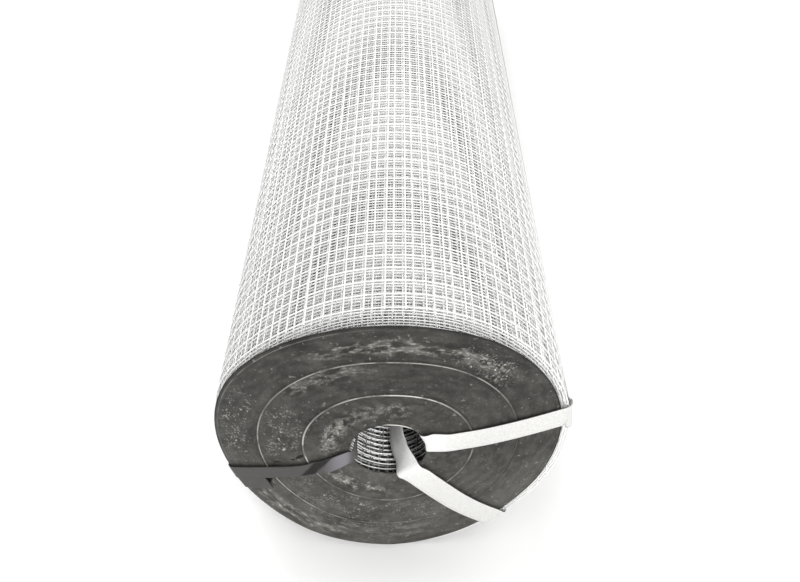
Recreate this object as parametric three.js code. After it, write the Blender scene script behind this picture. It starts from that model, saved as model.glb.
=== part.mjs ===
// Roll of galvanised welded wire mesh, lying on its side, with a plastic disc strapped over each end.
// Millimetres, +Z up. The roll's axis runs along Y and the end that shows its bore faces -Y.

import * as THREE from 'three';

// Mesh roll
const mesh_width = 1000;
const roll_diameter = 248;
const bore_diameter = 56;
const turn_spacing = 6;
const turn_depth = 0.8;

// End discs
const disc_inset = 5;
const hole_lip = 1.5;
const disc_thickness = 2;
const inner_rib_diameter = 116;
const outer_rib_diameter = 178;
const rib_width = 2.4;
const rib_height = 0.8;

// Near end, which the straps pull out of true: how far back its edge lies at each side
const left_pull = 15;
const left_pull_power = 2.4;
const right_pull = 16;
const right_pull_power = 1.45;
const lean = 5;
const top_stand_off = 12;
const top_stand_off_power = 4;

// Straps, each a closed loop through the bore and along the outside
const white_strap_width = 19;
const dark_strap_width = 12.5;
const strap_thickness = 0.8;
const strap_corner = 0.8;
const upper_strap_angle = 6;
const lower_strap_angle = -51;
const dark_strap_angle = -159;

// Fits and smoothness
const clearance = 0.3;
const sides = 48;
const strap_steps = 8;
const disc_rings = 3;

// What follows from them
const roll_radius = roll_diameter / 2;
const bore_radius = bore_diameter / 2;
const disc_radius = roll_radius - disc_inset;
const hole_radius = bore_radius - hole_lip;
const roll_near = disc_thickness + clearance;
const roll_far = roll_near + mesh_width;
const disc_far = roll_far + clearance;
const far_face = disc_far + disc_thickness;
const flat_of = Math.cos(Math.PI / sides);

function material(color, roughness, metalness) {
  return new THREE.MeshStandardMaterial({ color, roughness, metalness });
}

function pulledBack(x, z) {
  const pull = x < 0 ? left_pull : right_pull;
  const power = x < 0 ? left_pull_power : right_pull_power;
  return pull * (Math.abs(x) / disc_radius) ** power - (lean * z) / disc_radius;
}

function standOff(x, z) {
  return top_stand_off * (Math.max(z, 0) / roll_radius) ** top_stand_off_power;
}

// Moves what is at the near end along the axis, so that the disc, straps and mesh follow each other
function shapeNearEnd(geometry, ...shifts) {
  const place = geometry.attributes.position;
  for (let i = 0; i < place.count; i += 1) {
    const x = place.getX(i);
    const y = place.getY(i);
    const z = place.getZ(i);
    if (y < mesh_width / 2) {
      const shift = shifts.reduce((sum, shape) => sum + shape(x, z), 0);
      place.setY(i, y + shift);
    }
  }
  geometry.computeVertexNormals();
  return geometry;
}

// A closed profile of [radius, place along the axis] turned about the axis, with a flat side lowest
function turned(profile) {
  const points = [...profile, profile[0]].map(([radius, along]) => new THREE.Vector2(radius, along));
  return new THREE.LatheGeometry(points, sides, Math.PI / sides);
}

// The turns of the roll, seen on its end: a ridge and a groove for each, from the bore outwards
function turnProfile(face, groove) {
  const turns = Math.max(2, Math.round((roll_radius - bore_radius) / turn_spacing));
  const step = (roll_radius - bore_radius) / turns;
  const profile = [[bore_radius, face]];
  for (let turn = 0; turn < turns; turn += 1) {
    const start = bore_radius + turn * step;
    profile.push([start + step / 2, groove], [start + step, face]);
  }
  return profile;
}

function meshRoll() {
  const near = turnProfile(roll_near, roll_near + turn_depth);
  const far = turnProfile(roll_far, roll_far - turn_depth).reverse();
  return shapeNearEnd(turned([...near, ...far]), pulledBack, standOff);
}

// A disc with its hole and two raised rings on its outer face, which looks along the given direction
function endDisc(outer_face, outward) {
  const inner_face = outer_face - outward * disc_thickness;
  const flat_rings = (from, to) => Array.from({ length: disc_rings }, (_, i) => (
    from + ((to - from) * (i + 1)) / (disc_rings + 1)
  ));
  const half_rib = rib_width / 2;
  const inner_rib = inner_rib_diameter / 2;
  const outer_rib = outer_rib_diameter / 2;
  const front = [
    hole_radius,
    ...flat_rings(hole_radius, inner_rib - half_rib),
    inner_rib - half_rib,
    inner_rib,
    inner_rib + half_rib,
    ...flat_rings(inner_rib + half_rib, outer_rib - half_rib),
    outer_rib - half_rib,
    outer_rib,
    outer_rib + half_rib,
    ...flat_rings(outer_rib + half_rib, disc_radius),
    disc_radius,
  ];
  const isRib = (radius) => radius === inner_rib || radius === outer_rib;
  const outer = front.map((radius) => [radius, outer_face + (isRib(radius) ? outward * rib_height : 0)]);
  const inner = front.filter((radius) => !isRib(radius)).map((radius) => [radius, inner_face]);
  return outward < 0 ? turned([...outer, ...inner.reverse()]) : turned([...inner, ...outer.reverse()]);
}

// The loop that a strap makes around one side of the roll, seen from the side, at a distance off it
function strapLoop(off, width) {
  const in_bore = Math.sqrt((hole_radius * flat_of - clearance) ** 2 - (width / 2) ** 2);
  const inside = in_bore - off;
  const outside = roll_radius + clearance + off;
  const lift = rib_height + clearance + off;
  const near = -lift;
  const far = far_face + lift;
  const from = in_bore + strap_corner;
  const to = roll_radius - strap_corner;
  const near_run = Array.from({ length: strap_steps + 1 }, (_, i) => (
    [from + ((to - from) * i) / strap_steps, near]
  ));
  return [
    [inside, near + strap_corner],
    ...near_run,
    [outside, near + strap_corner],
    [outside, far - strap_corner],
    [to, far],
    [from, far],
    [inside, far - strap_corner],
  ].map(([radius, along]) => new THREE.Vector2(radius, along));
}

function strap(angle, width) {
  const band = new THREE.Shape(strapLoop(strap_thickness, width));
  band.holes.push(new THREE.Path(strapLoop(0, width)));
  const geometry = new THREE.ExtrudeGeometry(band, { depth: width, bevelEnabled: false });
  geometry.translate(0, 0, -width / 2);
  geometry.rotateY(THREE.MathUtils.degToRad(-angle));
  return shapeNearEnd(geometry, pulledBack);
}

const roll = new THREE.Group();

function add(name, geometry, finish) {
  const piece = new THREE.Mesh(geometry, finish);
  piece.name = name;
  roll.add(piece);
}

add('mesh_roll', meshRoll(), material('#c9cac6', 0.45, 0.7));
add('near_end_disc', shapeNearEnd(endDisc(0, -1), pulledBack), material('#4d4c48', 0.6, 0));
add('far_end_disc', endDisc(far_face, 1), material('#4d4c48', 0.6, 0));
add('upper_white_strap', strap(upper_strap_angle, white_strap_width), material('#f2f1ee', 0.7, 0));
add('lower_white_strap', strap(lower_strap_angle, white_strap_width), material('#f2f1ee', 0.7, 0));
add('dark_strap', strap(dark_strap_angle, dark_strap_width), material('#4a474c', 0.7, 0));

// The origin is on the floor, under the middle of the whole
const extent = new THREE.Box3().setFromObject(roll);
const middle = extent.getCenter(new THREE.Vector3());
roll.position.set(-middle.x, -middle.y, -extent.min.z);
roll.updateMatrixWorld(true);

export default roll;
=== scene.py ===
# Roll of galvanised welded wire mesh, lying on its side, with a dark disc strapped over each end.
# Metres, +Z up. The roll's axis runs along Y and the end that shows its bore faces -Y.
import math
import bpy
import numpy as np
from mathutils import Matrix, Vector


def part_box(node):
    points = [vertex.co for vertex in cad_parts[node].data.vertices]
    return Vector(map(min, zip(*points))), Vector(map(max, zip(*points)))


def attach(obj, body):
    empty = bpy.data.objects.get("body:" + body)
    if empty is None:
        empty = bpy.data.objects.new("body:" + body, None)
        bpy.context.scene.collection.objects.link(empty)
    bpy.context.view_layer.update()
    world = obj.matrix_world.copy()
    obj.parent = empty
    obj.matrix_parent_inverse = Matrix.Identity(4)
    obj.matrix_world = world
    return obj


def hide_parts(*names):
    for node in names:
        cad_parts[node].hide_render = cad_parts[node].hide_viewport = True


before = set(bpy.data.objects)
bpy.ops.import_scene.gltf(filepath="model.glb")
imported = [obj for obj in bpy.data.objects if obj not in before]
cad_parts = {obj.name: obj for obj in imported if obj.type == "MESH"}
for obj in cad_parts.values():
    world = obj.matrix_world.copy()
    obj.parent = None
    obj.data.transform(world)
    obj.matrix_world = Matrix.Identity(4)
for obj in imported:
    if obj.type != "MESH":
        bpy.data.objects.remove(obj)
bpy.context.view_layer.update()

# The mesh: its squares, wires and turns
MM = 0.001
MESH_WIDTH = 1000 * MM
SQUARES_ALONG = 79
SQUARE = MESH_WIDTH / SQUARES_ALONG
SQUARE_AROUND = 12.805 * MM
WIRE = 1.05 * MM
WELD_SINK = 0.2 * MM
SELVEDGE = 0.9 * MM
TURN_PITCH = 1.93 * MM
OUTER_WIRE_RADIUS = 123.13 * MM
FREE_EDGE_ANGLE = math.radians(242)
SHOWN_TURNS = 13
BORE_TURNS = 5
BORE_PITCH = 1.3 * MM
BORE_START_ANGLE = 0.95
BORE_STAGGER = SQUARE / 3.6
SLOW_DRIFT = 0.16 * MM
QUICK_DRIFT = 0.10 * MM
WIRE_SAG = 0.07 * MM
END_RIDGE = 0.4 * MM
END_GROOVE = 1.4 * MM

# The discs: their sheet, rings and creases
DISC_RADIUS = 119 * MM
HOLE_RADIUS = 26.5 * MM
DISC_THICKNESS = 2 * MM
SHEET_THICKNESS = 1.1 * MM
EDGE_ROUNDING = 0.15 * MM
CLEARANCE = 0.3 * MM
INNER_RIB = 58 * MM
OUTER_RIB = 89 * MM
RIDGE_SPREAD = 0.7 * MM
RIB_HEIGHT = 0.7 * MM
CREASE_DEPTH = 0.25 * MM
CREASE_OFFSET = 1.7 * MM
RIM_BEAD_HEIGHT = 0.3 * MM
RIM_BEAD_INSET = 2.2 * MM
LIP_BEAD_HEIGHT = 0.5 * MM
LIP_BEAD_OFFSET = 0.9 * MM
LIP_BEAD_SPREAD = 0.8 * MM
DENT_DEPTH = 0.35 * MM
FRAY = 0.45 * MM
FRAY_REACH = 5 * MM

# The straps
WHITE_STRAP_WIDTH = 19 * MM
DARK_STRAP_WIDTH = 12.5 * MM
DARK_TAIL_WIDTH = 13 * MM
STRAP_THICKNESS = 0.8 * MM

# The roll's radii, and how far the discs' middle lies to the left of the roll's
ROLL_RADIUS = 124 * MM
BORE_RADIUS = 28 * MM
DISC_OFF_AXIS = 2 * MM

# Places, worked out from the frame
roll_low, roll_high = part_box("mesh_roll")
AXIS_X = (roll_low[0] + roll_high[0]) / 2
DISC_X = AXIS_X - DISC_OFF_AXIS
AXIS_Z = (roll_low[2] + roll_high[2]) / 2
ROLL_FAR = roll_high[1]
NEAR_FACE = ROLL_FAR - MESH_WIDTH - DISC_THICKNESS - CLEARANCE
ROLL_NEAR = NEAR_FACE + DISC_THICKNESS + CLEARANCE
FAR_FACE = ROLL_FAR + DISC_THICKNESS + CLEARANCE

# How far back the sides of the near end lie, how it leans, and how its top stands off the mesh
LEFT_PULL = 15 * MM
LEFT_POWER = 2.4
RIGHT_PULL = 16 * MM
RIGHT_POWER = 1.45
LEAN = 5 * MM
TOP_STAND_OFF = 12 * MM
TOP_STAND_OFF_POWER = 4
LEFT_SET_BACK = 16 * MM
RIGHT_SET_FORWARD = 3 * MM
OUTERMOST_ONLY = 8
BEND_FADES_OVER = 300 * MM


def pulled_back(x, z):
    """How far back along the axis the near end lies at a place, measured from the disc's middle."""
    reach = np.abs(x) / DISC_RADIUS
    left = LEFT_PULL * reach ** LEFT_POWER
    right = RIGHT_PULL * reach ** RIGHT_POWER
    return np.where(x < 0, left, right) - LEAN * z / DISC_RADIUS


def hump(angle, middle, half):
    """1 at a turn about the axis, in degrees, and smoothly down to 0 at a reach to both sides."""
    off = np.abs((np.degrees(angle) - middle + 180) % 360 - 180) / half
    return np.where(off < 1, 0.5 + 0.5 * np.cos(np.pi * np.minimum(off, 1)), 0)


def mesh_near_end(x, z):
    """Where the mesh's near edge lies along the axis."""
    stand_off = TOP_STAND_OFF * (np.maximum(z, 0) / ROLL_RADIUS) ** TOP_STAND_OFF_POWER
    angle = np.arctan2(z, x)
    outermost = (np.hypot(x, z) / ROLL_RADIUS) ** OUTERMOST_ONLY
    slip = LEFT_SET_BACK * hump(angle, 205, 80) - RIGHT_SET_FORWARD * hump(angle, -12, 50)
    return ROLL_NEAR + pulled_back(x, z) + stand_off + slip * outermost


# Meshes, from arrays of points


def make_piece(name, vertices, quads, finishes, node, finish_of_faces=None):
    """A closed mesh of four-cornered faces that rides with the roll and stands for a node."""
    vertices = np.asarray(vertices, dtype=np.float64).reshape(-1, 3)
    quads = np.asarray(quads, dtype=np.int32).reshape(-1, 4)
    a, b, c, d = (vertices[quads[:, i]] for i in range(4))
    volume = np.einsum("ij,ij->", a, np.cross(b, c)) + np.einsum("ij,ij->", a, np.cross(c, d))
    if volume < 0:
        quads = quads[:, ::-1]
    mesh = bpy.data.meshes.new(name)
    mesh.vertices.add(len(vertices))
    mesh.vertices.foreach_set("co", vertices.ravel())
    mesh.loops.add(quads.size)
    mesh.loops.foreach_set("vertex_index", quads.ravel())
    mesh.polygons.add(len(quads))
    mesh.polygons.foreach_set("loop_start", np.arange(0, quads.size, 4, dtype=np.int32))
    mesh.update(calc_edges=True)
    mesh.validate()
    mesh.polygons.foreach_set("use_smooth", np.full(len(mesh.polygons), True))
    for finish in finishes:
        mesh.materials.append(finish)
    if finish_of_faces is not None:
        mesh.polygons.foreach_set("material_index", np.asarray(finish_of_faces, dtype=np.int32))
    piece = bpy.data.objects.new(name, mesh)
    bpy.context.scene.collection.objects.link(piece)
    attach(piece, "root")
    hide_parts(node)
    return piece


def grid_quads(rows, columns, close_rows=False, close_columns=False):
    """The faces between the points of a grid, which may join up with itself either way."""
    row = np.arange(rows if close_rows else rows - 1)
    column = np.arange(columns if close_columns else columns - 1)
    i, j = np.meshgrid(row, column, indexing="ij")
    next_i = (i + 1) % rows
    next_j = (j + 1) % columns
    corners = [i * columns + j, i * columns + next_j, next_i * columns + next_j, next_i * columns + j]
    return np.stack(corners, axis=-1).reshape(-1, 4)


def wires(centres, across, up, sides):
    """Round wires through rows of points: their vertices and faces, with both ends of each closed."""
    rods, stations = centres.shape[:2]
    turn = (np.arange(sides) + 0.5) * 2 * np.pi / sides
    ring = np.cos(turn)[:, None] * across[:, :, None, :] + np.sin(turn)[:, None] * up[:, :, None, :]
    vertices = centres[:, :, None, :] + WIRE / 2 * ring
    one = grid_quads(stations, sides, close_columns=True)
    last = (stations - 1) * sides
    caps = []
    for corner in range(1, sides - 2, 2):
        caps.append([0, corner, corner + 1, corner + 2])
        caps.append([last, last + corner + 2, last + corner + 1, last + corner])
    one = np.concatenate([one, np.array(caps)[:, ::-1]])
    offsets = np.arange(rods) * stations * sides
    quads = one[None] + offsets[:, None, None]
    return vertices.reshape(-1, 3), quads.reshape(-1, 4)


def joined(parts):
    """Several lots of vertices and faces as one."""
    vertices = []
    quads = []
    count = 0
    for points, faces in parts:
        vertices.append(points)
        quads.append(faces + count)
        count += len(points)
    return np.concatenate(vertices), np.concatenate(quads)


# The wound mesh


def mesh_turns(first_radius, pitch, squares, sides, start_angle, steps=1, stagger=0.0, weld=-1):
    """A stretch of the wound mesh: round wires, with the wires along the roll welded to one side of them.

    The squares are the first and last of the stretch. Each turn can start further back than the one
    around it, by the stagger. Last comes, for each face, whether it is on a wire along the roll.
    """
    start_square, last_square = squares
    crossings = start_square + np.arange((last_square - start_square) * steps + 1) / steps
    run = crossings * SQUARE_AROUND
    radius = np.sqrt(first_radius ** 2 - pitch * run / np.pi)
    angle = (first_radius - radius) * 2 * np.pi / pitch
    turn = start_angle + angle
    drift = SLOW_DRIFT * np.sin(turn * 5.3) + QUICK_DRIFT * np.sin(turn * 13.1 + 1)
    uneven = WIRE_SAG * np.sin(crossings * 2.3) * np.sin(crossings * 0.37 + 2)
    outward = np.stack([np.cos(turn), np.zeros_like(turn), np.sin(turn)], axis=-1)
    along_turn = np.stack([-np.sin(turn), np.zeros_like(turn), np.cos(turn)], axis=-1)
    axis = np.broadcast_to([0.0, 1.0, 0.0], outward.shape)
    near = mesh_near_end(radius * outward[:, 0], radius * outward[:, 2]) + drift + SELVEDGE
    near += stagger * angle / (2 * np.pi)
    far = ROLL_FAR - SELVEDGE + drift
    share = np.arange(SQUARES_ALONG + 1) / SQUARES_ALONG
    round_wires = np.zeros((SQUARES_ALONG + 1, len(crossings), 3))
    sag = uneven * np.sin(share * 61.7)[:, None]
    round_wires[:, :, 0] = AXIS_X + (radius + sag) * outward[:, 0]
    round_wires[:, :, 1] = near + (far - near) * share[:, None]
    round_wires[:, :, 2] = AXIS_Z + (radius + sag) * outward[:, 2]
    count = len(round_wires)
    rounds = wires(
        round_wires,
        np.broadcast_to(outward, (count, *outward.shape)),
        np.broadcast_to(axis, (count, *axis.shape)),
        sides,
    )
    own = slice(None, None, steps)
    beside = radius[own] + weld * (WIRE - WELD_SINK)
    long_wires = np.zeros((len(beside), 2, 3))
    long_wires[:, :, 0] = (AXIS_X + beside * outward[own, 0])[:, None]
    long_wires[:, :, 1] = np.stack([near[own] - SELVEDGE, far[own] + SELVEDGE], axis=-1)
    long_wires[:, :, 2] = (AXIS_Z + beside * outward[own, 2])[:, None]
    longs = wires(
        long_wires,
        np.repeat(outward[own][:, None], 2, axis=1),
        np.repeat(along_turn[own][:, None], 2, axis=1),
        sides,
    )
    vertices, quads = joined([rounds, longs])
    return vertices, quads, np.arange(len(quads)) >= len(rounds[1])


def turned_ring(profile, segments, shift=None):
    """A closed profile of [radius, place along the axis] turned about the roll's axis."""
    profile = np.asarray(profile)
    angle = np.arange(segments) * 2 * np.pi / segments
    radius = profile[:, 0][:, None]
    x = radius * np.cos(angle)
    z = radius * np.sin(angle)
    y = np.broadcast_to(profile[:, 1][:, None], x.shape).copy()
    if shift is not None:
        y += shift(x, z, y)
    vertices = np.stack([AXIS_X + x, y, AXIS_Z + z], axis=-1)
    return vertices.reshape(-1, 3), grid_quads(len(profile), segments, True, True)


def wound_core(first_radius, last_radius):
    """The turns too deep to see between, as one ring with a ridge for each turn on both its ends."""
    profile = []
    turns = int((first_radius - last_radius) / TURN_PITCH)
    step = (first_radius - last_radius) / turns
    for turn in range(turns):
        profile.append([last_radius + turn * step, ROLL_NEAR + END_RIDGE])
        profile.append([last_radius + (turn + 0.5) * step, ROLL_NEAR + END_GROOVE])
    profile.append([first_radius, ROLL_NEAR + END_RIDGE])
    mirror = [[radius, ROLL_NEAR + ROLL_FAR - along] for radius, along in reversed(profile)]

    def follow(x, z, y):
        return np.where(y < 0, mesh_near_end(x, z) - ROLL_NEAR, 0)

    return turned_ring(profile + mirror, 96, follow)


# Materials


class Amount:
    """A number or colour that changes over a surface, with the sums that materials need."""

    def __init__(self, finish, socket):
        self.finish = finish
        self.socket = socket

    def math(self, operation, first, second=0.0):
        return self.finish.node("ShaderNodeMath", {"operation": operation}, {0: first, 1: second})

    def __add__(self, other):
        return self.math("ADD", self, other)

    def __radd__(self, other):
        return self.math("ADD", other, self)

    def __sub__(self, other):
        return self.math("SUBTRACT", self, other)

    def __rsub__(self, other):
        return self.math("SUBTRACT", other, self)

    def __mul__(self, other):
        return self.math("MULTIPLY", self, other)

    def __rmul__(self, other):
        return self.math("MULTIPLY", other, self)

    def __truediv__(self, other):
        return self.math("DIVIDE", self, other)

    def __pow__(self, other):
        return self.math("POWER", self, other)

    def absolute(self):
        return self.math("ABSOLUTE", self)

    def fraction(self):
        return self.math("FRACT", self)

    def sine(self):
        return self.math("SINE", self)

    def larger(self, other):
        return self.math("MAXIMUM", self, other)

    def between(self, low, high):
        """0 below low, 1 above high, and a smooth step between."""
        return self.finish.node(
            "ShaderNodeMapRange",
            {"interpolation_type": "SMOOTHSTEP"},
            {"Value": self, "From Min": low, "From Max": high},
        )


class Finish:
    """A material, and the nodes that it is made of."""

    def __init__(self, name, uniform=None):
        self.material = bpy.data.materials.new(name)
        self.material.use_nodes = True
        self.tree = self.material.node_tree
        self.shader = self.tree.nodes["Principled BSDF"]
        for socket, value in (uniform or {}).items():
            self.shader.inputs[socket].default_value = value
        self.place = self.node("ShaderNodeTexCoord", output="Object")

    def feed(self, socket, value):
        if isinstance(value, Amount):
            self.tree.links.new(value.socket, socket)
        else:
            socket.default_value = value

    def node(self, kind, settings=None, sockets=None, output=0):
        made = self.tree.nodes.new(kind)
        for name, value in (settings or {}).items():
            setattr(made, name, value)
        for name, value in (sockets or {}).items():
            self.feed(made.inputs[name], value)
        return Amount(self, made.outputs[output])

    def axes(self):
        """How far a place lies from the discs' middle to the right, and along the axis, and above it."""
        moved = self.node(
            "ShaderNodeVectorMath",
            {"operation": "SUBTRACT"},
            {0: self.place, 1: (DISC_X, NEAR_FACE, AXIS_Z)},
            "Vector",
        )
        parts = self.node("ShaderNodeSeparateXYZ", None, {0: moved})
        node = parts.socket.node
        return [Amount(self, node.outputs[i]) for i in range(3)]

    def polar(self):
        """The distance from the roll's axis, the turn about it in radians, and the place along it."""
        x, along, z = self.axes()
        radius = (x * x + z * z) ** 0.5
        angle = self.node("ShaderNodeMath", {"operation": "ARCTAN2"}, {0: z, 1: x})
        return radius, angle, along

    def noise(self, scale, detail=3.0, roughness=0.55):
        sockets = {"Vector": self.place, "Scale": scale, "Detail": detail, "Roughness": roughness}
        return self.node("ShaderNodeTexNoise", None, sockets, "Fac")

    def ring_noise(self, x, z, radius, scale, around):
        """Noise drawn out along rings about the axis, the more so the smaller around is."""
        place = self.node(
            "ShaderNodeCombineXYZ",
            None,
            {"X": x / radius * around, "Y": radius, "Z": z / radius * around},
        )
        sockets = {"Vector": place, "Scale": scale, "Detail": 3.0}
        return self.node("ShaderNodeTexNoise", None, sockets, "Fac")

    def mix(self, factor, first, second):
        """A colour between two others."""
        settings = {"data_type": "RGBA", "clamp_factor": True}
        made = self.node("ShaderNodeMix", settings, {"Factor": factor})
        node = made.socket.node
        colours = [socket for socket in node.inputs if socket.type == "RGBA"]
        for socket, value in zip(colours, (first, second)):
            self.feed(socket, value if isinstance(value, Amount) else (*value, 1.0))
        results = [socket for socket in node.outputs if socket.type == "RGBA"]
        return Amount(self, results[0])

    def bump(self, height, distance):
        sockets = {"Height": height, "Distance": distance}
        self.set("Normal", self.node("ShaderNodeBump", None, sockets, "Normal"))

    def set(self, socket, value):
        self.feed(self.shader.inputs[socket], value)


def galvanised_wire():
    """Bright zinc: nearly white, mottled, a little duller in spots."""
    finish = Finish("galvanised_wire", {"Metallic": 0.3})
    mottle = finish.noise(900, 4)
    cloud = finish.noise(38, 3)
    tone = finish.mix(mottle.between(0.35, 0.7), (0.80, 0.80, 0.79), (0.95, 0.95, 0.94))
    dull = cloud.between(0.5, 0.7) * 0.35
    finish.set("Base Color", finish.mix(dull, tone, (0.72, 0.72, 0.705)))
    finish.set("Roughness", 0.34 + 0.22 * mottle + 0.1 * cloud)
    finish.bump(mottle, 0.08 * MM)
    return finish.material


def shaded_bore_wire():
    """The bore's wires along the roll, which lie behind the round ones, painted dark grey as painted
    shade.
    """
    finish = Finish("shaded_bore_wire", {"Metallic": 0.3})
    tone = finish.mix(finish.noise(300, 3), (0.10, 0.10, 0.097), (0.22, 0.22, 0.215))
    finish.set("Base Color", tone)
    finish.set("Roughness", 0.6 + 0.2 * finish.noise(90))
    return finish.material


def deep_turns():
    """The turns below the ones that are modelled wire by wire: pale wires over dark gaps, both painted;
    the dark gaps, and the wires' tone greyer than the outer wires', are painted shade.
    """
    finish = Finish("deep_turns", {"Metallic": 0.3})
    radius, angle, along = finish.polar()
    around = angle * (radius / SQUARE)
    lengthwise = along / SQUARE
    wire_share = WIRE / SQUARE

    def line(place, shift, width):
        near = ((place + shift).fraction() - 0.5).absolute()
        return 1 - near.between(width * 0.4, width * 0.75)

    mask = line(around, 0.1, wire_share).larger(line(lengthwise, 0.3, wire_share))
    second = line(around, 0.55, wire_share).larger(line(lengthwise, 0.78, wire_share)) * 0.7
    third = line(around, 0.8, wire_share).larger(line(lengthwise, 0.52, wire_share)) * 0.5
    pattern = mask.larger(second).larger(third)
    # Painted shade: dark gaps between wires greyer than the outer ones.
    finish.set("Base Color", finish.mix(pattern, (0.03, 0.03, 0.028), (0.5, 0.5, 0.485)))
    finish.set("Roughness", 0.75 - 0.35 * pattern)
    finish.bump(pattern, 0.5 * MM)
    return finish.material


def end_disc_plastic():
    """Thin dark sheet, matt, with painted highlights along its ring beads, rim and lip, painted shade in
    its creases and at its rim, dust rubbed along the rings and specks of dirt.
    """
    finish = Finish("end_disc_plastic", {"Specular IOR Level": 0.2})
    radius, angle, _ = finish.polar()
    x, _, z = finish.axes()
    grain = finish.noise(700, 3, 0.6)
    cloud = finish.noise(22, 4, 0.6)
    smudge = finish.noise(60, 3, 0.6)
    patch = finish.noise(110, 3, 0.65)
    speck = finish.noise(330, 2, 0.5)
    dust = finish.noise(620, 3, 0.65)
    streak = finish.ring_noise(x, z, radius, 210, 40 * MM)
    fine_streak = finish.ring_noise(x, z, radius, 520, 50 * MM)

    def window(at_degrees, half_degrees):
        """1 near a turn about the axis, fading at both ends of a stretch around it."""
        turned = ((angle - math.radians(at_degrees)) / (2 * math.pi) + 0.5).fraction() - 0.5
        off = turned.absolute() / (half_degrees / 360)
        return 1 - off.between(0.4, 1.0)

    def ring(at_radius, half_width):
        """1 along a ring, fading at its sides."""
        return 1 - ((radius - at_radius) / half_width).absolute().between(0.3, 1.0)

    def spot(at_x, at_z, half_x, half_z, slope=0.0):
        """1 in a small ragged oval on the disc, with its long side at a slope."""
        left = x - at_x
        up = z - at_z - left * slope
        off = (left / half_x) ** 2 + (up / half_z) ** 2 + (speck - 0.5) * 4
        return 1 - off.between(0.8, 1.1)

    def largest(first, *others):
        for other in others:
            first = first.larger(other)
        return first

    rubbed = largest(
        ring(102 * MM, 8 * MM) * window(80, 46) * 0.75,
        ring(47 * MM, 7 * MM) * window(240, 36),
        ring(108 * MM, 8 * MM) * window(231, 26),
        ring(41 * MM, 8 * MM) * window(155, 42) * 0.8,
        ring(42 * MM, 9 * MM) * window(100, 40) * 0.5,
        ring(84 * MM, 8 * MM) * window(118, 26) * 0.45,
        ring(100 * MM, 10 * MM) * window(262, 36) * 0.35,
    )
    speckled = largest(
        ring(101 * MM, 13 * MM) * window(52, 18),
        ring(106 * MM, 12 * MM) * window(172, 26),
        ring(72 * MM, 18 * MM) * window(170, 28) * 0.8,
        ring(40 * MM, 10 * MM) * window(164, 30) * 0.8,
        ring(78 * MM, 22 * MM) * window(255, 60) * 0.5,
    )

    # The sheet is painted paler over its lower part than over its upper part.
    low = 1 - z.between(-75 * MM, 35 * MM)
    blotch = cloud.between(0.38, 0.64) * 0.5 + smudge.between(0.36, 0.64) * 0.3
    blotch += streak.between(0.35, 0.65) * 0.2
    upper = finish.mix(blotch, (0.015, 0.0145, 0.013), (0.050, 0.0485, 0.044))
    lower = finish.mix(blotch, (0.036, 0.035, 0.031), (0.094, 0.091, 0.083))
    base = finish.mix(low, upper, lower)
    film = streak.between(0.42, 0.62) * (0.06 + 0.62 * rubbed)
    filmed = finish.mix(film, base, (0.20, 0.195, 0.175))
    streaks = fine_streak.between(0.50, 0.64) * streak.between(0.40, 0.60) * (0.03 + 0.65 * rubbed)
    streaked = finish.mix(streaks, filmed, (0.42, 0.41, 0.38))
    grains = dust.between(0.50, 0.64) * patch.between(0.42, 0.60) * (0.05 + 0.55 * speckled)
    dusted = finish.mix(grains, streaked, (0.46, 0.45, 0.42))
    specks = speck.between(0.66, 0.73) * (0.22 + 0.65 * speckled)
    flecked = finish.mix(specks, dusted, (0.50, 0.495, 0.46))

    # Painted highlights: pale lines along the ring beads, the rim and the hole's lip, stronger at the top
    # and left, where their slopes face the light, and broken up by noise.
    highlight_breakup = 0.25 + 0.75 * finish.noise(75, 2).between(0.38, 0.58)
    inner_ring_highlight = ring(INNER_RIB, 0.75 * MM) * (0.30 + 0.7 * window(85, 45) + 0.4 * window(180, 40))
    outer_ring_highlight = ring(OUTER_RIB, 0.6 * MM) * (0.16 + 0.4 * window(85, 70) + 0.34 * window(200, 60))
    rim_highlight = ring(DISC_RADIUS - RIM_BEAD_INSET, 0.5 * MM) * window(140, 62) * 0.16
    lip_highlight = ring(HOLE_RADIUS + 0.8 * MM, 0.7 * MM) * window(75, 26)
    painted_highlight = largest(inner_ring_highlight, outer_ring_highlight, rim_highlight, lip_highlight) * highlight_breakup
    lined = finish.mix(painted_highlight, flecked, (0.62, 0.61, 0.57))

    # Painted shade: near-black lines in the creases beside the rings and along the rim, stronger at the
    # right, where the slopes face away from the light.
    right = window(-20, 62)
    crease_shade = largest(
        ring(INNER_RIB + 1.2 * MM, 0.7 * MM) * 0.35,
        ring(OUTER_RIB + 1.2 * MM, 0.7 * MM) * 0.30,
        ring(OUTER_RIB + 0.4 * MM, 0.9 * MM) * right * 0.85,
        ring(DISC_RADIUS, 1.3 * MM) * (0.6 + 0.35 * right),
    )
    chips = largest(
        spot(-77.4 * MM, -19.6 * MM, 2.8 * MM, 0.9 * MM, 0.2),
        spot(-61.6 * MM, -11.8 * MM, 3.2 * MM, 1.7 * MM, 0.6),
        spot(-66.6 * MM, -15.6 * MM, 1.6 * MM, 0.8 * MM, 0.2),
    )
    # Painted shadow: a small dark wedge at the end of the dark strap's tail.
    tail_shadow_end = 1 - (x + 81.6 * MM - (z + 38.1 * MM) * 0.43).between(-0.4 * MM, 0.4 * MM)
    tail_shadow = tail_shadow_end * x.between(-89 * MM, -88 * MM) * z.between(-48.5 * MM, -47.5 * MM)
    tail_shadow *= 1 - z.between(-37 * MM, -36 * MM)
    # The painted shade, the painted shadow and the chips are all mixed to near black.
    dark = largest(crease_shade, chips, tail_shadow)
    finish.set("Base Color", finish.mix(dark, lined, (0.005, 0.005, 0.004)))
    finish.set("Roughness", 0.50 + 0.16 * cloud + 0.2 * rubbed)
    finish.bump(grain + 0.8 * dust * speckled, 0.2 * MM)
    return finish.material


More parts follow.
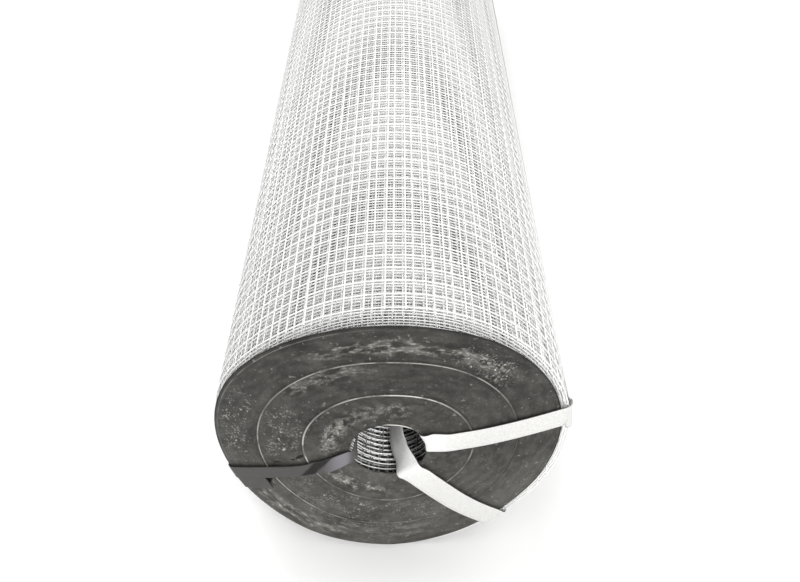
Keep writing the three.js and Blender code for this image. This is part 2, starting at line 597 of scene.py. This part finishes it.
def woven_strap(name, dark, light, spot, lit_part_and_kink_shade=None):
    """Flat woven strap: fine ribs aslant, finer yarns and a little grime; on the dark strap, a painted
    highlight where it lifts near the hole and painted shade across its kink.
    """
    finish = Finish(name, {"Specular IOR Level": 0.25})
    x, along, z = finish.axes()
    ribs = ((x * 0.75 + z * 0.65 + along * 0.9) * (2 * math.pi / (1.15 * MM))).sine()
    yarns = finish.noise(1100, 2, 0.5)
    soft = finish.noise(70, 3)
    weave = yarns.between(0.3, 0.7) * 0.6 + 0.2 + 0.2 * ribs
    woven = finish.mix(weave, dark, light)
    if lit_part_and_kink_shade:
        painted_highlight, from_x, kink_shade = lit_part_and_kink_shade
        # Painted highlight on the lifted stretch near the hole, and painted shade in a band across the
        # kink.
        light_part = x.between(from_x - 2 * MM, from_x + 14 * MM) * (1 - x.between(-29 * MM, -24 * MM))
        woven = finish.mix(light_part * (1 - along.between(1 * MM, 4 * MM)), woven, painted_highlight)
        off_kink = ((x + 50.5 * MM) * 0.85 - (z + 19 * MM) * 0.53).absolute()
        woven = finish.mix(1 - off_kink.between(2.2 * MM, 4.4 * MM), woven, kink_shade)
    finish.set("Base Color", finish.mix(soft.between(0.58, 0.8) * 0.4, woven, spot))
    finish.set("Roughness", 0.62 + 0.2 * yarns)
    finish.bump(yarns + 0.6 * ribs, 0.12 * MM)
    return finish.material


def strap_edge(name, unshaded):
    """A strap's cut edges: painted dark as shade on the near disc, and strap-coloured further back."""
    finish = Finish(name, {"Specular IOR Level": 0.15})
    _, along, _ = finish.axes()
    # Painted shade: dark, mottled edges near the disc.
    edge_shade = finish.mix(finish.noise(400, 3), (0.030, 0.029, 0.027), (0.07, 0.068, 0.064))
    finish.set("Base Color", finish.mix(along.between(12 * MM, 19 * MM), edge_shade, unshaded))
    finish.set("Roughness", 0.8 + 0.1 * finish.noise(90))
    return finish.material


GALVANISED = galvanised_wire()
SHADED_BORE_WIRE = shaded_bore_wire()
DEEP_TURNS = deep_turns()
DISC_PLASTIC = end_disc_plastic()
WHITE_STRAP = woven_strap("white_strap", (0.56, 0.557, 0.54), (0.78, 0.778, 0.765), (0.60, 0.59, 0.57))
DARK_STRAP = woven_strap(
    "dark_strap",
    (0.058, 0.055, 0.054),
    (0.086, 0.081, 0.080),
    (0.11, 0.105, 0.11),
    ((0.17, 0.16, 0.178), -46 * MM, (0.010, 0.010, 0.010)),
)
WHITE_EDGE = strap_edge("white_strap_edge", (0.72, 0.715, 0.70))
DARK_EDGE = strap_edge("dark_strap_edge", (0.06, 0.057, 0.056))


def add_wound_mesh():
    """The outer turns and those at the bore wire by wire, and the deep ones as a core."""
    squares_before = []
    for turn in range(SHOWN_TURNS + 1):
        length = 2 * np.pi * OUTER_WIRE_RADIUS * turn - np.pi * TURN_PITCH * turn ** 2
        squares_before.append(int(round(length / SQUARE_AROUND)))
    lots = [
        ("outermost_turns", 0, 2, 6),
        ("outer_turns", 2, 5, 4),
        ("middle_turns", 5, 9, 4),
        ("inner_turns", 9, SHOWN_TURNS, 4),
    ]
    for name, first, last, sides in lots:
        squares = (squares_before[first], squares_before[last])
        vertices, quads, _ = mesh_turns(OUTER_WIRE_RADIUS, TURN_PITCH, squares, sides, FREE_EDGE_ANGLE)
        make_piece(name, vertices, quads, [GALVANISED], "mesh_roll")
    first_bore = BORE_RADIUS + WIRE + BORE_PITCH * BORE_TURNS
    run = 2 * np.pi * first_bore * BORE_TURNS - np.pi * BORE_PITCH * BORE_TURNS ** 2
    squares = (0, int(run / SQUARE_AROUND))
    vertices, quads, is_long = mesh_turns(
        first_bore, BORE_PITCH, squares, 4, BORE_START_ANGLE, steps=3, stagger=BORE_STAGGER, weld=1,
    )
    finishes = [GALVANISED, SHADED_BORE_WIRE]
    make_piece("bore_turns", vertices, quads, finishes, "mesh_roll", is_long)
    core_outside = OUTER_WIRE_RADIUS - TURN_PITCH * SHOWN_TURNS - WIRE
    vertices, quads = wound_core(core_outside, first_bore + WIRE)
    make_piece("wound_core", vertices, quads, [DEEP_TURNS], "mesh_roll")


# The end discs


def ridge(radius, at, height, spread=RIDGE_SPREAD):
    """A soft ridge around the disc at one radius."""
    return height * np.exp(-((radius - at) / spread) ** 2)


def relief(radius):
    """How far the disc's outer face stands out: two fine rings with a crease each, a rim and a lip."""
    height = np.zeros_like(radius)
    for ring in (INNER_RIB, OUTER_RIB):
        height += ridge(radius, ring, RIB_HEIGHT)
        height -= ridge(radius, ring + CREASE_OFFSET, CREASE_DEPTH)
    height += ridge(radius, DISC_RADIUS - RIM_BEAD_INSET, RIM_BEAD_HEIGHT)
    height += ridge(radius, HOLE_RADIUS + LIP_BEAD_OFFSET, LIP_BEAD_HEIGHT, LIP_BEAD_SPREAD)
    return height


def dents(x, z):
    """Slow unevenness of the thin sheet."""
    wave = np.sin(x * 71 + 1.3) * np.sin(z * 58 + 0.4) + 0.6 * np.sin(x * 33 - z * 47 + 2)
    return DENT_DEPTH * wave


def ring_samples():
    """Radii for the disc's face, closer together at its raised rings, rim and hole."""
    even = np.linspace(HOLE_RADIUS, DISC_RADIUS, 42)
    close = [np.linspace(ring - 3 * MM, ring + 4 * MM, 18) for ring in (INNER_RIB, OUTER_RIB)]
    edges = [DISC_RADIUS - np.linspace(0, 4, 11) * MM, HOLE_RADIUS + np.linspace(0, 4, 11) * MM]
    every = np.unique(np.round(np.concatenate([even, *close, *edges]), 6))
    keep = np.concatenate([[True], np.diff(every) > 0.2 * MM])
    return every[keep]


def end_disc(face, outward, bent):
    """A disc with its hole. Its outer face looks outward, and its back is plain."""
    radii = ring_samples()
    half_edge = SHEET_THICKNESS * 0.5
    front = [[radius, face + outward * height] for radius, height in zip(radii, relief(radii))]
    back = [[radius, face - outward * SHEET_THICKNESS] for radius in radii[::-4]]
    rim = [[DISC_RADIUS + EDGE_ROUNDING, face - outward * half_edge]]
    lip = [[HOLE_RADIUS - EDGE_ROUNDING, face - outward * half_edge]]

    def shape(x, z, y):
        return (pulled_back(x, z) if bent else 0) + dents(x, z) * (1 if bent else 0.4)

    vertices, quads = turned_ring(front + rim + back + lip, 256, shape)
    vertices[:, 0] += DISC_X - AXIS_X
    if bent:
        worn_hole(vertices)
    return vertices, quads


def worn_hole(vertices):
    """Frays the hole's edge at the left, where the mesh's cut ends have chewed it."""
    x = vertices[:, 0] - DISC_X
    z = vertices[:, 2] - AXIS_Z
    radius = np.hypot(x, z)
    angle = np.arctan2(z, x)
    near_edge = np.clip(1 - (radius - HOLE_RADIUS) / FRAY_REACH, 0, 1)
    ragged = np.sin(angle * 37) + 0.7 * np.sin(angle * 61 + 1) + 0.5 * np.sin(angle * 97 + 2)
    pull = FRAY * ragged * near_edge * hump(angle, 178, 48)
    vertices[:, 0] += pull * np.cos(angle)
    vertices[:, 2] += pull * np.sin(angle)


def add_end_discs():
    vertices, quads = end_disc(NEAR_FACE, -1, True)
    make_piece("near_disc", vertices, quads, [DISC_PLASTIC], "near_end_disc")
    vertices, quads = end_disc(FAR_FACE, 1, False)
    make_piece("far_disc", vertices, quads, [DISC_PLASTIC], "far_end_disc")


# The straps


def rounded_route(places, closed):
    """Points along a route of [radius, place along the axis, turn, twist, width] with rounded corners.

    Each place has the rounding of its corner last.
    """
    places = np.asarray(places, dtype=float)
    corners = places[:, :5]
    rounding = places[:, 5]
    count = len(corners)
    route = []
    for i in range(count):
        here = corners[i]
        if not closed and i in (0, count - 1):
            route.append(here)
            continue
        before = corners[i - 1] - here
        after = corners[(i + 1) % count] - here
        length_before = np.linalg.norm(before[:2])
        length_after = np.linalg.norm(after[:2])
        cut = min(rounding[i], 0.45 * length_before, 0.45 * length_after)
        start = here + before * cut / length_before
        end = here + after * cut / length_after
        for t in np.linspace(0, 1, 9):
            route.append((1 - t) ** 2 * start + 2 * t * (1 - t) * here + t ** 2 * end)
    return np.array(route)


def filled(route, longest, closed):
    """The same route with more points where two lie far apart."""
    points = []
    count = len(route)
    for i in range(count if closed else count - 1):
        here = route[i]
        there = route[(i + 1) % count]
        parts = max(1, int(np.ceil(np.linalg.norm((there - here)[:2]) / longest)))
        for part in range(parts):
            points.append(here + (there - here) * part / parts)
    if not closed:
        points.append(route[-1])
    return np.array(points)


def band(route, closed):
    """A flat strap along a route: its vertices and faces, and which of those are its edges."""
    radius, along, degrees, twist, width = route.T
    turn = np.radians(degrees)
    centre = np.stack([radius * np.cos(turn), along, radius * np.sin(turn)], axis=-1)
    if closed:
        heading = np.roll(centre, -1, axis=0) - np.roll(centre, 1, axis=0)
    else:
        heading = np.gradient(centre, axis=0)
    heading /= np.linalg.norm(heading, axis=1)[:, None]
    flat = np.stack([-np.sin(turn), np.zeros_like(turn), np.cos(turn)], axis=-1)
    flat -= heading * np.einsum("ij,ij->i", flat, heading)[:, None]
    flat /= np.linalg.norm(flat, axis=1)[:, None]
    upright = np.cross(flat, heading)
    lean = np.radians(twist)[:, None]
    sideways = np.cos(lean) * flat + np.sin(lean) * upright
    face = np.cos(lean) * upright - np.sin(lean) * flat
    share = np.array([-1, -0.96, -0.6, -0.2, 0.2, 0.6, 0.96, 1])
    half = STRAP_THICKNESS / 2 * np.array([0.3, 1, 1, 1, 1, 1, 1, 0.3])
    across = np.concatenate([share, share[::-1]])
    off = np.concatenate([half, -half[::-1]])
    points = (
        centre[:, None]
        + (width[:, None] / 2 * across)[:, :, None] * sideways[:, None]
        + off[None, :, None] * face[:, None]
    )
    bend = pulled_back(points[:, :, 0] - (DISC_X - AXIS_X), points[:, :, 2])
    points[:, :, 1] += bend * np.clip(-points[:, :, 1] / BEND_FADES_OVER, 0, 1)
    points[:, :, 0] += AXIS_X
    points[:, :, 2] += AXIS_Z
    columns = len(across)
    quads = grid_quads(len(route), columns, closed, True)
    is_edge = np.isin(np.arange(len(quads)) % columns, [0, 6, 7, 8, 14, 15])
    if not closed:
        last = (len(route) - 1) * columns
        caps = []
        for i in range(len(share) - 1):
            low = [i, i + 1, columns - 2 - i, columns - 1 - i]
            caps.append(low)
            caps.append([last + corner for corner in reversed(low)])
        quads = np.concatenate([quads, np.array(caps)])
        is_edge = np.concatenate([is_edge, np.ones(len(caps), dtype=bool)])
    return points.reshape(-1, 3), quads, is_edge


IN_BORE = 24.2 * MM
OFF_DISC = 1.0 * MM
OUTSIDE = ROLL_RADIUS + CLEARANCE + STRAP_THICKNESS / 2
BEYOND_FAR = FAR_FACE + OFF_DISC + STRAP_THICKNESS / 2


def strap_place(radius, depth, degrees, rounding, width, twist=0):
    """A place of a strap, at a depth behind the near disc."""
    return [radius, NEAR_FACE + depth * MM, degrees, twist, width, rounding * MM]


def in_bore(radius, depth, degrees, rounding, twist=0, width=WHITE_STRAP_WIDTH):
    """A place of a strap in the bore, where it may be twisted out of its flat lie."""
    return strap_place(radius * MM, depth, degrees, rounding, width, twist)


def on_near(radius, degrees, rounding, lift=0.0, width=WHITE_STRAP_WIDTH):
    """A place of a strap on the near disc, or lifted off it."""
    along = NEAR_FACE - OFF_DISC - STRAP_THICKNESS / 2 - lift * MM
    return [radius * MM, along, degrees, 0, width, rounding * MM]


def around_back(rim_degrees, far_degrees, bore_degrees, width):
    """The hidden run of a strap: along the outside, over the far disc and into the bore."""
    return [
        [OUTSIDE, NEAR_FACE + 60 * MM, rim_degrees, 0, width, 30 * MM],
        [OUTSIDE, BEYOND_FAR, far_degrees, 0, width, 3 * MM],
        [IN_BORE, BEYOND_FAR, far_degrees, 0, width, 4 * MM],
        [IN_BORE, ROLL_FAR - 60 * MM, far_degrees, 0, width, 20 * MM],
        [IN_BORE * 0.8, NEAR_FACE + 130 * MM, bore_degrees, 0, width, 30 * MM],
    ]


def add_strap(name, node, finishes, places, closed=True):
    """A strap through its places: a loop, or open with two cut ends."""
    longest = 6 * MM if closed else 5 * MM
    route = filled(rounded_route(places, closed), longest, closed)
    vertices, quads, is_edge = band(route, closed)
    make_piece(name, vertices, quads, finishes, node, is_edge)


def add_white_straps():
    finishes = [WHITE_STRAP, WHITE_EDGE]
    wide = WHITE_STRAP_WIDTH
    add_strap("upper_strap", "upper_white_strap", finishes, [
        in_bore(22.5, 30, 26, 20),
        in_bore(23.6, -2.2, 22, 4),
        on_near(36.4, 8.7, 12),
        on_near(60.5, 7.2, 20),
        on_near(88.9, 8.0, 20),
        on_near(115.4, 9.0, 10),
        strap_place(122.2 * MM, -1.4, 9.2, 3, wide),
        strap_place(OUTSIDE, 5, 6.5, 6, wide),
        strap_place(OUTSIDE, 18, 1.0, 8, wide),
        *around_back(-1, 3, 22, wide),
    ])
    add_strap("lower_strap", "lower_white_strap", finishes, [
        in_bore(16.5, 64, -83.8, 20, -60),
        in_bore(16.7, 36, -81.2, 12, -56),
        in_bore(18.9, 22, -78, 10, -50),
        in_bore(20.2, 10, -67, 8, -41),
        in_bore(23.7, -3.1, -60.5, 8),
        on_near(33.0, -57.2, 10),
        on_near(51.4, -55.4, 20),
        on_near(84.4, -53.7, 20),
        on_near(116.4, -50.6, 8),
        strap_place(122.0 * MM, -1.4, -50.2, 3, wide),
        strap_place(OUTSIDE, 5, -50.2, 5, wide),
        *around_back(-51, -51, -82, wide),
    ])


def add_dark_strap():
    """The dark strap's loop, and its other end laid beside it."""
    finishes = [DARK_STRAP, DARK_EDGE]
    full = DARK_STRAP_WIDTH
    creased = full * 0.9
    add_strap("dark_strap_loop", "dark_strap", finishes, [
        in_bore(22.5, 40, 150, 20, 0, full),
        in_bore(23.0, 12, 168, 8, 0, full),
        in_bore(25.0, -0.6, 188, 3, 0, full * 0.8),
        on_near(30.5, 191.5, 6, 0.6, creased),
        on_near(39.8, 197.2, 6, 1.5, full),
        on_near(48.5, 200.2, 4, 1.7, full),
        on_near(54.5, 200.8, 3, 0.1, full),
        on_near(60.0, 201.2, 4, 0.7, creased),
        on_near(70.4, 201.4, 6, 0.5, creased),
        on_near(91.0, 199.9, 10, 0.5, full),
        on_near(118.5, 199.4, 8, 0.5, full),
        strap_place(121.4 * MM, -1.0, 199.4, 2, full),
        strap_place(121.9 * MM, 4, 199.6, 3, full),
        strap_place(OUTSIDE, 22, 200, 8, full),
        *around_back(201, 201, 150, full),
    ])
    tail = DARK_TAIL_WIDTH
    add_strap("dark_strap_tail", "dark_strap", finishes, [
        on_near(98.2, 206.7, 1, 0.5, tail),
        on_near(103.0, 206.5, 3, 0.1, tail),
        on_near(109.9, 205.8, 5, 0, tail),
        on_near(118.4, 204.9, 6, 0, tail),
        strap_place(120.9 * MM, -0.8, 204.9, 2, tail),
        strap_place(121.2 * MM, 4, 205, 3, tail),
        strap_place(OUTSIDE, 24, 206, 8, tail),
        strap_place(OUTSIDE, 110, 207, 3, tail),
    ], closed=False)


# Floor, light and camera


def add_floor():
    size = 8.0
    mesh = bpy.data.meshes.new("floor")
    corners = [(-size, -size, 0), (size, -size, 0), (size, size, 0), (-size, size, 0)]
    mesh.from_pydata(corners, [], [(0, 1, 2, 3)])
    floor = bpy.data.objects.new("floor", mesh)
    bpy.context.scene.collection.objects.link(floor)
    finish = Finish("pale_floor", {"Roughness": 0.9})
    finish.set("Base Color", finish.mix(finish.noise(3, 2), (0.90, 0.90, 0.895), (0.92, 0.92, 0.915)))
    mesh.materials.append(finish.material)


def area_light(name, place, target, size, power):
    light = bpy.data.lights.new(name, "AREA")
    light.shape = "DISK"
    light.size = size
    light.energy = power
    aim_lamp(light, place, target)


def aim_lamp(light, place, target):
    lamp = bpy.data.objects.new(light.name, light)
    lamp.location = place
    aim = np.subtract(target, place)
    lamp.rotation_euler = (
        math.atan2(math.hypot(aim[0], aim[1]), -aim[2]),
        0,
        math.atan2(-aim[0], aim[1]),
    )
    bpy.context.scene.collection.objects.link(lamp)


def spot_light(name, place, target, spread_degrees, power):
    light = bpy.data.lights.new(name, "SPOT")
    light.energy = power
    light.spot_size = math.radians(spread_degrees)
    light.spot_blend = 0.8
    light.shadow_soft_size = 0.03
    aim_lamp(light, place, target)


def add_light():
    world = bpy.data.worlds.new("studio")
    world.use_nodes = True
    sky = world.node_tree.nodes["Background"]
    sky.inputs["Color"].default_value = (1, 1, 1, 1)
    sky.inputs["Strength"].default_value = 1.0
    bpy.context.scene.world = world
    near_end = (AXIS_X, NEAR_FACE + 0.1, AXIS_Z)
    area_light("key", (0.42, NEAR_FACE - 0.95, 1.1), near_end, 0.45, 8)
    area_light("top", (-0.35, NEAR_FACE + 0.6, 1.7), (AXIS_X, 0, AXIS_Z), 1.2, 14)
    spot_light("into_bore", (0.40, NEAR_FACE - 0.85, AXIS_Z + 0.55), (AXIS_X, NEAR_FACE, AXIS_Z), 2.8, 50)


def add_camera():
    """The camera stands where the photograph's outlines, wires and rings say that it stood."""
    focal_pixels = 894.9
    frame_width = 800
    look_down = math.radians(40.8)
    camera = bpy.data.cameras.new("camera")
    camera.sensor_fit = "HORIZONTAL"
    camera.sensor_width = 36
    camera.lens = focal_pixels / frame_width * camera.sensor_width
    camera.clip_start = 0.01
    holder = bpy.data.objects.new("camera", camera)
    holder.location = (AXIS_X + 6.0 * MM, NEAR_FACE - 388.8 * MM, AXIS_Z + 478.4 * MM)
    holder.rotation_euler = (math.pi / 2 - look_down, 0, 0)
    bpy.context.scene.collection.objects.link(holder)
    bpy.context.scene.camera = holder


add_wound_mesh()
add_end_discs()
add_white_straps()
add_dark_strap()
add_floor()
add_light()
add_camera()
bpy.context.scene.view_settings.view_transform = "Standard"
